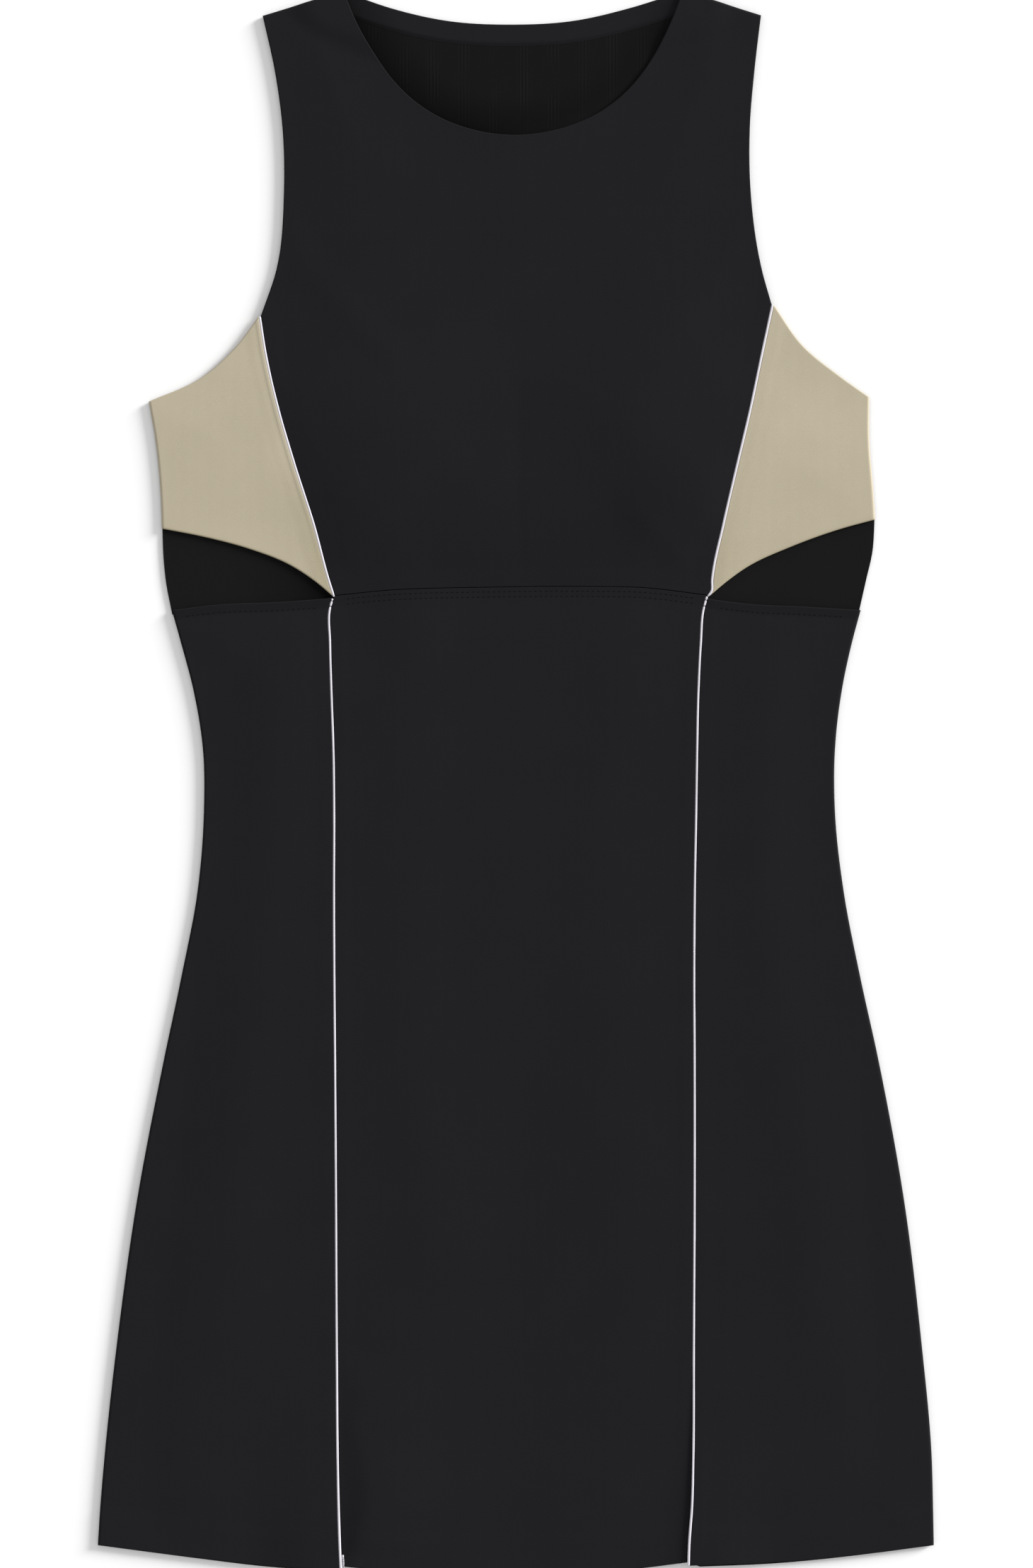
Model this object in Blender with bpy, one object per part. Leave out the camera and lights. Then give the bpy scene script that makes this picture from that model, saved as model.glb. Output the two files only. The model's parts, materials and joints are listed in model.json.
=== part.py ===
"""A sleeveless jersey dress with pale side panels, white piping, waist cut-outs and a slit skirt.

The dress lies flat on its back. +X is to the right of a viewer who looks down on it, +Y runs to the
shoulders and +Z is up. The origin is under the middle of the dress, on the surface that it lies on.
Lengths below are in millimetres, and MM turns them into Blender's metres.
"""

from collections import namedtuple

import bpy
import numpy as np

MM = 0.001
COLLECTION = "jersey_dress"

# Cloth
WALL = 1.2
GAP = 0.3
EDGE_STRIP = 1.6
EDGE_ROUNDING = 0.4
BACK_INSET = 0.6

# Piping
PIPING_RADIUS = 0.8
PIPING_SPACING = 9.0
BODICE_PIPING_END_Y = 104.4
SKIRT_PIPING_TOP_Y = 102.4
SEAM_OFFSET = PIPING_RADIUS + GAP

# How the front stands off the back
PUFF = 1.0
PUFF_REACH = 26.0
SEAM_DIP = 0.5
SEAM_REACH = 9.0
BUST_LIFT = 1.9
BUST_X = 72.0
BUST_Y = 205.0
BUST_WIDTH = 48.0
BUST_HEIGHT = 52.0

# Neck band inside the back
BAND_WIDTH = 10.0
BAND_THICKNESS = 1.0
BAND_INSET = 0.5
BAND_END = 0.01
BAND_CLEARANCE = 7.0
BAND_FADE = 14.0

# Slits at the bottom of the skirt's piped seams, where the side panels lie over the centre panel
SLIT_TOP = -318.0
SLIT_RISE_LENGTH = 45.0
UNDERLAP_TOP = -366.0
UNDERLAP_LENGTH = 50.0
UNDERLAP = 8.0
SLIT_CLEARANCE = 0.1
SLIT_LIFT = WALL + GAP + SLIT_CLEARANCE
SLIT_LIFT_FLAT = 13.0
SLIT_LIFT_FADE = 36.0

# The back's own waist seam, which the skirt's side panels cover
BACK_WAIST_Y = 93.0

# Rows and columns of each piece's mesh. The bodices' rows are above and below the armhole
FRONT_BODICE_ROWS = (10, 13)
FRONT_NECK_STEPS = 19
BACK_BODICE_ROWS = (13, 6)
BACK_NECK_STEPS = 13
SHOULDER_STEPS = (0.0, 0.04, 0.5)
SIDE_PANEL_GRID = (13, 6)
SKIRT_FRONT_GRID = (27, 9)
SKIRT_SIDE_GRID = (27, 7)
BACK_SKIRT_GRID = (12, 14)
BAND_STEPS = 31
ROW_EASING = 0.65
SHARP_ANGLE = np.radians(35)

Pair = namedtuple("Pair", "left_x left_y right_x right_y")
SkirtRow = namedtuple("SkirtRow", "y left_seam left_piping right_piping right_seam")

# Skirt, from the waist to the hem
SKIRT = [
    SkirtRow(95.5, -189.7, -102.6, 103.4, 190.2),
    SkirtRow(78.0, -184.8, -102.4, 102.0, 185.5),
    SkirtRow(50.0, -177.5, -101.6, 100.6, 179.6),
    SkirtRow(18.0, -172.5, -100.7, 99.8, 176.0),
    SkirtRow(-15.0, -172.0, -100.3, 99.2, 176.0),
    SkirtRow(-60.0, -175.6, -100.2, 98.6, 180.9),
    SkirtRow(-106.0, -184.3, -100.0, 98.3, 189.8),
    SkirtRow(-153.0, -194.2, -99.6, 98.5, 200.1),
    SkirtRow(-231.0, -209.1, -99.1, 98.5, 214.3),
    SkirtRow(-309.0, -220.0, -98.9, 98.1, 223.8),
    SkirtRow(-372.0, -226.9, -98.3, 97.6, 229.4),
    SkirtRow(-420.0, -230.5, -97.0, 95.7, 230.5),
]
SKIRT_SEAM_TOP = Pair(-100.6, 103.1, 105.4, 103.1)
SKIRT_SIDE_TOP_Y = 102.0
SKIRT_SEAM_END = Pair(-96.4, -433.2, 95.2, -431.0)

# Armhole, from the shoulder's tip to the underarm
ARMHOLE = [
    Pair(-139.6, 423.2, 135.2, 423.5),
    Pair(-133.0, 392.7, 131.7, 392.7),
    Pair(-128.9, 361.5, 129.3, 361.5),
    Pair(-128.2, 326.0, 129.9, 326.0),
    Pair(-132.4, 283.5, 136.1, 283.5),
    Pair(-141.2, 257.4, 141.6, 264.0),
    Pair(-153.5, 241.2, 157.6, 241.6),
    Pair(-172.8, 223.9, 177.8, 225.0),
    Pair(-202.4, 210.4, 195.0, 212.8),
]
PIPED_SEAM_ROW = 5

# Seam between the centre front and the side panel, from the armhole to the waist
BODICE_SEAM = [
    Pair(-141.2, 257.4, 141.6, 264.0),
    Pair(-138.1, 236.7, 135.7, 236.7),
    Pair(-130.7, 205.5, 129.3, 205.5),
    Pair(-121.5, 174.3, 121.9, 174.3),
    Pair(-111.7, 143.1, 114.5, 143.1),
    Pair(-103.1, 111.9, 108.5, 111.9),
    Pair(-100.4, 103.4, 106.1, 103.4),
]

# Side seam of the bodice, from the underarm to the cut-out, and the back's edge on down to the waist
BODICE_SIDE = [
    Pair(-202.4, 210.4, 195.0, 212.8),
    Pair(-198.9, 189.9, 195.0, 189.9),
    Pair(-195.9, 158.7, 197.4, 158.7),
    Pair(-195.2, 140.4, 198.2, 145.4),
]
CUT_OUT_SIDE = [
    Pair(-195.2, 140.4, 198.2, 145.4),
    Pair(-194.8, 127.5, 197.0, 127.5),
    Pair(-193.4, 112.0, 193.5, 112.0),
    Pair(-189.8, 93.0, 189.2, 93.0),
]

# Lower edge of the side panel, from the side seam to the point at the waist
CUT_OUT_TOP = [
    Pair(-195.2, 140.4, 198.2, 145.4),
    Pair(-171.2, 135.9, 178.6, 140.2),
    Pair(-147.8, 129.9, 152.0, 130.8),
    Pair(-125.6, 121.3, 129.1, 120.3),
    Pair(-111.3, 112.0, 117.6, 112.1),
    Pair(-102.5, 104.6, 108.8, 104.6),
]

# Free top edge of the skirt's side panel, from the side seam to the piping
CUT_OUT_BOTTOM = [
    Pair(-189.7, 95.5, 189.9, 95.5),
    Pair(-163.4, 98.5, 157.6, 97.5),
    Pair(-134.9, 99.5, 131.8, 98.7),
    Pair(-116.6, 100.6, 118.6, 100.2),
    Pair(-104.0, 101.6, 107.5, 101.8),
]

# Edges that run across the front, from left to right
WAIST_SEAM = [
    (-100.2, 103.3),
    (-70.0, 106.2),
    (-20.0, 107.7),
    (35.0, 108.2),
    (72.0, 107.4),
    (105.8, 103.4),
]
LEFT_NECK_POINT = (-95.2, 436.8)
RIGHT_NECK_POINT = (92.3, 437.0)
FRONT_NECK = [
    LEFT_NECK_POINT,
    (-85.8, 415.4),
    (-77.4, 401.3),
    (-67.3, 387.3),
    (-57.6, 377.6),
    (-44.5, 368.5),
    (-26.9, 361.2),
    (-1.0, 357.3),
    (26.2, 361.3),
    (43.6, 368.5),
    (56.6, 377.6),
    (66.2, 387.3),
    (76.1, 401.3),
    (83.5, 415.4),
    RIGHT_NECK_POINT,
]
BACK_NECK = [
    LEFT_NECK_POINT,
    (-69.0, 427.6),
    (-37.4, 420.5),
    (-2.7, 418.5),
    (32.0, 420.6),
    (62.8, 427.6),
    RIGHT_NECK_POINT,
]
CENTRE_HEM = [(-94.4, -430.6), (-50.0, -434.6), (0.0, -436.3), (50.0, -434.0), (94.0, -428.2)]
SIDE_HEM = [
    Pair(-230.5, -420.0, 230.5, -419.0),
    Pair(-179.0, -427.0, 190.3, -424.7),
    Pair(-124.8, -432.9, 144.3, -429.4),
    Pair(-97.6, -434.0, 96.4, -431.6),
]

BLACK = ("black_jersey", (0.016, 0.015, 0.0175), 0.85)
STONE = ("stone_jersey", (0.503, 0.445, 0.328), 0.8)
WHITE = ("white_piping", (0.775, 0.745, 0.807), 0.6)


def smoothstep(value):
    """0 below 0, 1 above 1, with a soft rise between."""
    t = np.clip(value, 0.0, 1.0)
    return t * t * (3.0 - 2.0 * t)


def smooth(points, steps=14):
    """A dense line through the points, as cubic curves that share their slope at each point."""
    points = np.array(points, float)
    chords = np.linalg.norm(np.diff(points, axis=0), axis=1)
    knots = np.concatenate([[0.0], np.cumsum(chords)])
    slopes = np.gradient(points, knots, axis=0)
    spans = [np.linspace(a, b, steps, endpoint=False) for a, b in zip(knots[:-1], knots[1:])]
    t = np.concatenate(spans + [knots[-1:]])
    i = np.clip(np.searchsorted(knots, t, side="right") - 1, 0, len(knots) - 2)
    width = (knots[i + 1] - knots[i])[:, None]
    s = (t - knots[i])[:, None] / width
    start = (2 * s**3 - 3 * s**2 + 1) * points[i] + (s**3 - 2 * s**2 + s) * width * slopes[i]
    end = (3 * s**2 - 2 * s**3) * points[i + 1] + (s**3 - s**2) * width * slopes[i + 1]
    return start + end


def run_of(line):
    """The length of the line up to each of its points."""
    lengths = np.linalg.norm(np.diff(line, axis=0), axis=1)
    return np.concatenate([[0.0], np.cumsum(lengths)])


def fractions_of(line):
    """How far along the line each of its points is, from 0 to 1."""
    run = run_of(line)
    return run / run[-1]


def along(line, fractions):
    """The line's points at these fractions of its length."""
    own = fractions_of(line)
    return np.stack([np.interp(fractions, own, line[:, k]) for k in range(line.shape[1])], axis=-1)


def offset(line, distance):
    """The line moved sideways. It runs down the dress, and a positive distance is to the right."""
    direction = np.gradient(line, axis=0)
    direction /= np.linalg.norm(direction, axis=1)[:, None]
    sideways = np.stack([-direction[:, 1], direction[:, 0]], axis=-1)
    return line + sideways * np.reshape(distance, (-1, 1))


def fit_ends(line, start, end):
    """The line with its ends moved onto the given points, and the rest shifted in proportion."""
    f = fractions_of(line)[:, None]
    return line + (start - line[0]) * (1 - f) + (end - line[-1]) * f


def between(line, top, bottom):
    """The part of a line that runs down the dress, between two heights. Either may lie past its end."""
    heights = line[::-1, 1]
    ends = [(np.interp(y, heights, line[::-1, 0]), y) for y in (top, bottom) if heights[0] < y < heights[-1]]
    kept = line[(line[:, 1] > bottom) & (line[:, 1] < top)]
    found = np.vstack([kept, *np.reshape(ends, (-1, 1, 2))])
    return found[np.argsort(-found[:, 1], kind="stable")]


def steps(count, length):
    """Fractions for a panel's rows or columns: a narrow one along each edge, then wider to the middle."""
    edge = EDGE_STRIP / length
    even = np.linspace(0, 1, count)
    eased = even - ROW_EASING * np.sin(2 * np.pi * even) / (2 * np.pi)
    return np.concatenate([[0.0], edge + (1 - 2 * edge) * eased, [1.0]])


def distance(plan, line):
    """How far each point of the plan is from the nearest point of the line."""
    away = plan[..., None, :] - line
    return np.sqrt((away**2).sum(axis=-1)).min(axis=-1)


def one_side(pair, side):
    """The left or the right point of a pair."""
    return (getattr(pair, side + "_x"), getattr(pair, side + "_y"))


def hand(table, side):
    """One side's line of a table of pairs."""
    return smooth([one_side(pair, side) for pair in table])


def side_seam(side):
    """The skirt's side seam, from the cut-out to the hem."""
    return smooth([(getattr(row, side + "_seam"), row.y) for row in SKIRT])


def skirt_seam(side):
    """The skirt's piped seam, from the waist to the hem."""
    points = [(getattr(row, side + "_piping"), row.y) for row in SKIRT]
    return smooth([one_side(SKIRT_SEAM_TOP, side), *points, one_side(SKIRT_SEAM_END, side)])


def coons(left, right, top, bottom, v, u):
    """A panel's plan, as rows of points, from its four edges. v runs down and u across."""
    left, right = along(left, v)[:, None], along(right, v)[:, None]
    v, u = v[:, None, None], u[None, :, None]
    corners = (1 - v) * ((1 - u) * top[0] + u * top[-1]) + v * ((1 - u) * bottom[0] + u * bottom[-1])
    return (1 - u) * left + u * right + (1 - v) * top + v * bottom - corners


def panel_plan(outer, inner, top, bottom, grid, side="left"):
    """A panel between an outer and an inner edge. Both of its cross edges run from outer to inner."""
    top = fit_ends(top, outer[0], inner[0])
    bottom = fit_ends(bottom, outer[-1], inner[-1])
    v = steps(grid[0], run_of(outer)[-1])
    u = steps(grid[1], run_of(top)[-1])
    plan = coons(outer, inner, along(top, u), along(bottom, u), v, u)
    return plan if side == "left" else plan[:, ::-1]


def stacked_plan(upper_edges, lower_edges, top, bottom, across, rows):
    """Two patches, one below the other, with a straight row where they meet."""
    level = along(np.array([lower_edges[0][0], lower_edges[1][0]]), across)
    bottom = along(fit_ends(bottom, lower_edges[0][-1], lower_edges[1][-1]), across)
    upper_v = np.delete(steps(rows[0], run_of(upper_edges[0])[-1]), [-2, -1])
    lower_v = np.delete(steps(rows[1], run_of(lower_edges[0])[-1]), 1)
    upper = coons(*upper_edges, top, level, upper_v, across)
    return np.vstack([upper, coons(*lower_edges, level, bottom, lower_v, across)])


def front_edges():
    """Points all round the front: seams at its sides and shoulders, and its free edges."""
    lines = [smooth(FRONT_NECK), smooth(CENTRE_HEM)]
    for side, neck_point in (("left", LEFT_NECK_POINT), ("right", RIGHT_NECK_POINT)):
        tables = (ARMHOLE, BODICE_SIDE, CUT_OUT_TOP, CUT_OUT_BOTTOM, SIDE_HEM)
        lines += [hand(table, side) for table in tables]
        lines += [side_seam(side), smooth([neck_point, one_side(ARMHOLE[0], side)])]
    return np.vstack(lines)


def piped_seams():
    """Points along the four piped seams."""
    lines = []
    for side in ("left", "right"):
        lines += [hand(BODICE_SEAM, side), skirt_seam(side)]
    return np.vstack(lines)


FRONT_EDGES = front_edges()
PIPED_SEAMS = piped_seams()
BACK_NECK_LINE = smooth(BACK_NECK)


def front_underside(plan, overlaps_slit=False):
    """Height of the front's inner face: close to the back at the edges, and full over the bust."""
    x, y = plan[..., 0], plan[..., 1]
    bust = np.exp(-(((np.abs(x) - BUST_X) / BUST_WIDTH) ** 2) - ((y - BUST_Y) / BUST_HEIGHT) ** 2)
    seam = distance(plan, PIPED_SEAMS)
    fullness = PUFF + BUST_LIFT * bust - SEAM_DIP * np.exp(-((seam / SEAM_REACH) ** 2))
    fullness = fullness * smoothstep(distance(plan, FRONT_EDGES) / PUFF_REACH)
    near_slit = smoothstep((SLIT_TOP - y) / SLIT_RISE_LENGTH)
    near_slit = near_slit * (1 - smoothstep((seam - SLIT_LIFT_FLAT) / SLIT_LIFT_FADE))
    lift = SLIT_LIFT if overlaps_slit else 0.0
    fullness = fullness * (1 - near_slit) + lift * near_slit
    beyond_band = (distance(plan, BACK_NECK_LINE) - BAND_WIDTH - BAND_CLEARANCE) / BAND_FADE
    over_band = (BAND_THICKNESS + GAP) * (1 - smoothstep(beyond_band))
    return WALL + GAP + np.maximum(fullness, over_band)


def new_material(name, colour, roughness):
    found = bpy.data.materials.get(name)
    if found:
        return found
    material = bpy.data.materials.new(name)
    material.use_nodes = True
    shader = material.node_tree.nodes["Principled BSDF"]
    shader.inputs["Base Color"].default_value = (*colour, 1.0)
    shader.inputs["Roughness"].default_value = roughness
    shader.inputs["Metallic"].default_value = 0.0
    return material


def add_object(name, data, material):
    data.materials.append(new_material(*material))
    made = bpy.data.objects.new(name, data)
    bpy.data.collections[COLLECTION].objects.link(made)
    return made


def add_cloth(name, plan, underside, material, thickness=WALL):
    """A closed cloth wall over a plan of rows, with its upper face rounded off along the edges."""
    rows, columns = plan.shape[:2]
    upper = underside + thickness
    for border in (upper[0], upper[-1], upper[1:-1, 0], upper[1:-1, -1]):
        border -= EDGE_ROUNDING
    points_up = np.concatenate([plan, upper[..., None]], axis=-1).reshape(-1, 3)
    points_down = np.concatenate([plan, underside[..., None]], axis=-1).reshape(-1, 3)
    index = np.arange(rows * columns).reshape(rows, columns)
    corners = (index[:-1, :-1], index[1:, :-1], index[1:, 1:], index[:-1, 1:])
    quads = np.stack(corners, axis=-1).reshape(-1, 4)
    rim = np.concatenate([index[:, 0], index[-1, 1:], index[-2::-1, -1], index[0, -2:0:-1]])
    following = np.roll(rim, -1)
    below = rows * columns
    walls = np.stack([rim, rim + below, following + below, following], axis=-1)
    faces = np.concatenate([quads, quads[:, ::-1] + below, walls])
    mesh = bpy.data.meshes.new(name)
    mesh.from_pydata((np.vstack([points_up, points_down]) * MM).tolist(), [], faces.tolist())
    mesh.shade_smooth()
    mesh.set_sharp_from_angle(angle=SHARP_ANGLE)
    return add_object(name, mesh, material)


def add_piping(name, line, overlaps_slit=False):
    """A cord that lies between two panels, level with their inner faces."""
    count = round(run_of(line)[-1] / PIPING_SPACING)
    route = along(line, np.linspace(0, 1, count))
    heights = front_underside(route, overlaps_slit) + PIPING_RADIUS
    curve = bpy.data.curves.new(name, "CURVE")
    curve.dimensions = "3D"
    curve.bevel_depth = PIPING_RADIUS * MM
    curve.bevel_resolution = 2
    curve.use_fill_caps = True
    spline = curve.splines.new("POLY")
    spline.points.add(count - 1)
    for point, (x, y), z in zip(spline.points, route, heights):
        point.co = (x * MM, y * MM, z * MM, 1.0)
    return add_object(name, curve, WHITE)


def shoulders_and_neck(neck, left_tip, right_tip, neck_steps):
    """The top edge from one shoulder's tip to the other, and its points' places across."""
    left = along(np.array([left_tip, neck[0]]), np.array(SHOULDER_STEPS))
    right = along(np.array([right_tip, neck[-1]]), np.array(SHOULDER_STEPS))[::-1]
    top = np.vstack([left, along(neck, np.linspace(0, 1, neck_steps)), right])
    across = (top[:, 0] - top[0, 0]) / (top[-1, 0] - top[0, 0])
    return top, across


def front_bodice():
    """A yoke from the shoulders to the armholes' piped corners, and a chest from there to the waist."""
    armholes, seams = [], []
    for side, inward in (("left", 1), ("right", -1)):
        seam = offset(hand(BODICE_SEAM, side), inward * SEAM_OFFSET)
        armhole = hand(ARMHOLE[: PIPED_SEAM_ROW + 1], side)
        armholes.append(fit_ends(armhole, armhole[0], seam[0]))
        seams.append(seam)
    tips = (armholes[0][0], armholes[1][0])
    top, across = shoulders_and_neck(smooth(FRONT_NECK), *tips, FRONT_NECK_STEPS)
    waist = smooth(WAIST_SEAM) + (0.0, GAP / 2)
    plan = stacked_plan(armholes, seams, top, waist, across, FRONT_BODICE_ROWS)
    add_cloth("front_bodice", plan, front_underside(plan), BLACK)


def side_panel(side):
    """The pale panel under the armhole, which narrows to a point where the piping meets the waist."""
    outward = -1 if side == "left" else 1
    seam = offset(hand(BODICE_SEAM, side), outward * SEAM_OFFSET)
    underarm = hand(ARMHOLE[PIPED_SEAM_ROW:], side)[::-1]
    edges = (hand(BODICE_SIDE, side), seam, underarm, hand(CUT_OUT_TOP, side))
    plan = panel_plan(*edges, SIDE_PANEL_GRID, side)
    add_cloth("side_panel_" + side, plan, front_underside(plan), STONE)


def skirt_front():
    """The skirt's centre panel. At the slits its edges run on under the side panels."""
    edges = []
    for side, inward, hem in (("left", 1, CENTRE_HEM[0]), ("right", -1, CENTRE_HEM[-1])):
        seam = between(skirt_seam(side), np.inf, hem[1])
        under = smoothstep((UNDERLAP_TOP - seam[:, 1]) / UNDERLAP_LENGTH)
        edges.append(offset(seam, inward * (SEAM_OFFSET - (SEAM_OFFSET + UNDERLAP) * under)))
    waist = smooth(WAIST_SEAM) - (0.0, GAP / 2)
    plan = panel_plan(*edges, waist, smooth(CENTRE_HEM), SKIRT_FRONT_GRID)
    add_cloth("skirt_front", plan, front_underside(plan), BLACK)


def skirt_side(side):
    """A flared side panel, with a free top edge at the cut-out, that lies over the slit."""
    outward = -1 if side == "left" else 1
    seam = offset(between(skirt_seam(side), SKIRT_SIDE_TOP_Y, -np.inf), outward * SEAM_OFFSET)
    edges = (side_seam(side), seam, hand(CUT_OUT_BOTTOM, side), hand(SIDE_HEM, side))
    plan = panel_plan(*edges, SKIRT_SIDE_GRID, side)
    add_cloth("skirt_side_" + side, plan, front_underside(plan, overlaps_slit=True), BLACK)


def back_bodice():
    """The back lies flat, a little inside the front's edges, and shows in the neck and the cut-outs."""
    armholes, flanks = [], []
    for side, inward in (("left", 1), ("right", -1)):
        flank = np.vstack([hand(BODICE_SIDE, side), hand(CUT_OUT_SIDE, side)[1:]])
        flank = between(offset(flank, inward * BACK_INSET), np.inf, BACK_WAIST_Y + GAP / 2)
        armhole = offset(hand(ARMHOLE, side), inward * BACK_INSET)
        armholes.append(fit_ends(armhole, armhole[0], flank[0]))
        flanks.append(flank)
    tips = (armholes[0][0], armholes[1][0])
    top, across = shoulders_and_neck(BACK_NECK_LINE, *tips, BACK_NECK_STEPS)
    waist = np.array([flanks[0][-1], flanks[1][-1]])
    plan = stacked_plan(armholes, flanks, top, waist, across, BACK_BODICE_ROWS)
    add_cloth("back_bodice", plan, np.zeros(plan.shape[:2]), BLACK)


def back_skirt():
    """One plain piece under the whole skirt, a little inside the front's edges."""
    edges = []
    for side, inward in (("left", 1), ("right", -1)):
        seam = offset(side_seam(side), inward * BACK_INSET)
        edges.append(between(seam, BACK_WAIST_Y - GAP / 2, -np.inf))
    waist = smooth([edges[0][0], edges[1][0]])
    hems = [hand(SIDE_HEM, "left"), smooth(CENTRE_HEM), hand(SIDE_HEM, "right")[::-1]]
    hem = np.vstack(hems) + (0.0, BACK_INSET)
    plan = panel_plan(*edges, waist, hem, BACK_SKIRT_GRID)
    add_cloth("back_skirt", plan, np.zeros(plan.shape[:2]), BLACK)


def back_neck_band():
    """A flat band that follows the back neck, on the inside of the back."""
    neck = along(BACK_NECK_LINE, np.linspace(BAND_END, 1 - BAND_END, BAND_STEPS))
    direction = np.gradient(neck, axis=0)
    direction /= np.linalg.norm(direction, axis=1)[:, None]
    down = np.stack([direction[:, 1], -direction[:, 0]], axis=-1)
    strip = BAND_WIDTH - BAND_INSET
    depths = BAND_INSET + strip * steps(2, strip)
    plan = np.stack([neck + down * depth for depth in depths])
    underside = np.full(plan.shape[:2], WALL + GAP)
    add_cloth("back_neck_band", plan, underside, BLACK, BAND_THICKNESS)


def build():
    for leftover in list(bpy.data.objects):
        bpy.data.objects.remove(leftover, do_unlink=True)
    bpy.context.scene.collection.children.link(bpy.data.collections.new(COLLECTION))
    back_bodice()
    back_skirt()
    back_neck_band()
    front_bodice()
    skirt_front()
    for side in ("left", "right"):
        side_panel(side)
        skirt_side(side)
        add_piping("bodice_piping_" + side, between(hand(BODICE_SEAM, side), np.inf, BODICE_PIPING_END_Y))
        piped = between(skirt_seam(side), SKIRT_PIPING_TOP_Y, -np.inf)
        add_piping("skirt_piping_" + side, piped, overlaps_slit=True)


build()
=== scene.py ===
"""The looks of a sleeveless jersey dress that lies flat on its back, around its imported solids.

Lengths in the tables are in millimetres, and MM turns them into Blender's metres. +X is to the right of
a viewer who looks down on the dress, +Y runs to the shoulders and +Z is up from the floor.
"""

import json
from collections import namedtuple

import bpy
import numpy as np
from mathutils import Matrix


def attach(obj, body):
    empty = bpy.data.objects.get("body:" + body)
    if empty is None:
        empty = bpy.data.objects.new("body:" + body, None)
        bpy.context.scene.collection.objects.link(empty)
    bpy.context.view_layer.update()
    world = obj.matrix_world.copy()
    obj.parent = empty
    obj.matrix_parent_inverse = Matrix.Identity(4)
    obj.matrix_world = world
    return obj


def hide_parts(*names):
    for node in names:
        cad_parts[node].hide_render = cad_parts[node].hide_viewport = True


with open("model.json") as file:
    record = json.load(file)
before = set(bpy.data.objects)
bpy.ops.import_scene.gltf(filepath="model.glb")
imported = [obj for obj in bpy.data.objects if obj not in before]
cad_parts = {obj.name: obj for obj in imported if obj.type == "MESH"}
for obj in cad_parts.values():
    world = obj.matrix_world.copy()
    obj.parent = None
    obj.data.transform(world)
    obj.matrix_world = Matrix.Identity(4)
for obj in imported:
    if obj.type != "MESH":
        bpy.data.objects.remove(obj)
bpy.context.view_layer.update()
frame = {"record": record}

MM = 0.001
RANDOM = np.random.default_rng(7)

# Levels and fullness of the cloth, about as in the solids
WALL = 1.2
GAP = 0.3
BACK_INSET = 0.3
BACK_WAIST_Y = 93.0
PUFF = 0.8
PUFF_REACH = 50.0
BUST_LIFT = 1.9
BUST_X = 72.0
BUST_Y = 205.0
BUST_WIDTH = 48.0
BUST_HEIGHT = 52.0

# The front dips a little at each piped seam, in the order of PIPED_SEAMS
SEAM_DIPS = (0.25, 0.05, 0.45, 0.05)
SEAM_REACH = 9.0

# Band inside the back neck. Near its lower edge it gets thinner and painted shade darkens it. The front
# clears it
BAND_WIDTH = 12.0
BAND_CLOTH = 0.5
BAND_INSET = 0.4
BAND_EDGE = 0.08
BAND_THINS_FROM = 9.8
BAND_LOWER_SHADE = 0.15
BAND_SPACING = 2.0
BAND_STRIPS = 0.8
BAND_ROOM = 1.0 + GAP
BAND_CLEARANCE = 7.0
BAND_FADE = 14.0

# Slits. Down from SLIT_TOP the side panels rise over the centre panel, which runs on under them
SLIT_TOP = -300.0
SLIT_RISE_LENGTH = 110.0
SLIT_LIFT = WALL + GAP + 0.1
SLIT_LIFT_FLAT = 13.0
SLIT_LIFT_FADE = 36.0
UNDERLAP = 8.0
UNDERLAP_TOP = -385.0
UNDERLAP_LENGTH = 40.0

# How far the upper face drops at an edge of each kind. The lower face meets it there
FREE = 0.6
SEWN = 0.35
AT_WAIST = 0.22
JOINED_TO_BACK = 1.35
BACK_FREE = 0.6
BACK_JOINED = 0.0
THINNEST = 0.03

# The centre panel's top corners reach this much further up, which closes the waist seam
WAIST_CLOSING = 0.27

# Fine form of the front
WAVE_FADE = 14.0
ALLOWANCE_HEIGHT = 0.1
ALLOWANCE_WIDTH = 6.5
ALLOWANCE_FADE = 2.5
HEM_HEIGHT = 0.16
HEM_WIDTH = 19.0
NECK_LIFT = 1.0
NECK_LIFT_REACH = 26.0
NECK_LIFT_WIDTH = 55.0

# Ridge beside the piping on the left side panel. It rises up the panel from RIDGE_START
RIDGE_HEIGHT = 0.13
RIDGE_WIDTH = 2.1
RIDGE_FADE = 1.0
RIDGE_START = 112.0
RIDGE_RISE = 60.0

# Mesh. The strips run along every edge, and the rest of a panel has about even spacing
CURVE_STEPS = 14
EDGE_STRIPS = (0.0, 0.08, 0.3, 0.6, 1.0, 1.5, 1.85, 2.2, 2.6, 3.2, 4.6, 6.5, 9.0)
FRONT_SPACING = 3.0
SIDE_PANEL_SPACING = 2.5
BACK_SPACING = 4.0
HIDDEN_SPACING = 8.0

# Piping. Its cord is flattened and a little uneven: share of the radius, length and start of each wave
PIPING_RADIUS = {"bodice": 0.68, "skirt": 0.62}
PIPING_FLATNESS = 0.65
PIPING_WAVES = ((0.025, 9.0, 0.0), (0.02, 3.7, 1.0))
PIPING_SIDES = 16
PIPING_SPACING = 1.5
CLOTH_TO_PIPING = {"bodice": 0.62, "skirt": 0.55}
CORD_LEVEL = 0.88

# Close points at both ends of a cord, and how near to its tip the rounding goes
FIRST_POINTS = (0.0, 0.05, 0.2, 0.45)
CLOSE_START = 0.7
CLOSE_LENGTH = 7.5
CLOSE_SPACING = 0.25
TIP_ROUNDING = 0.97

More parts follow.
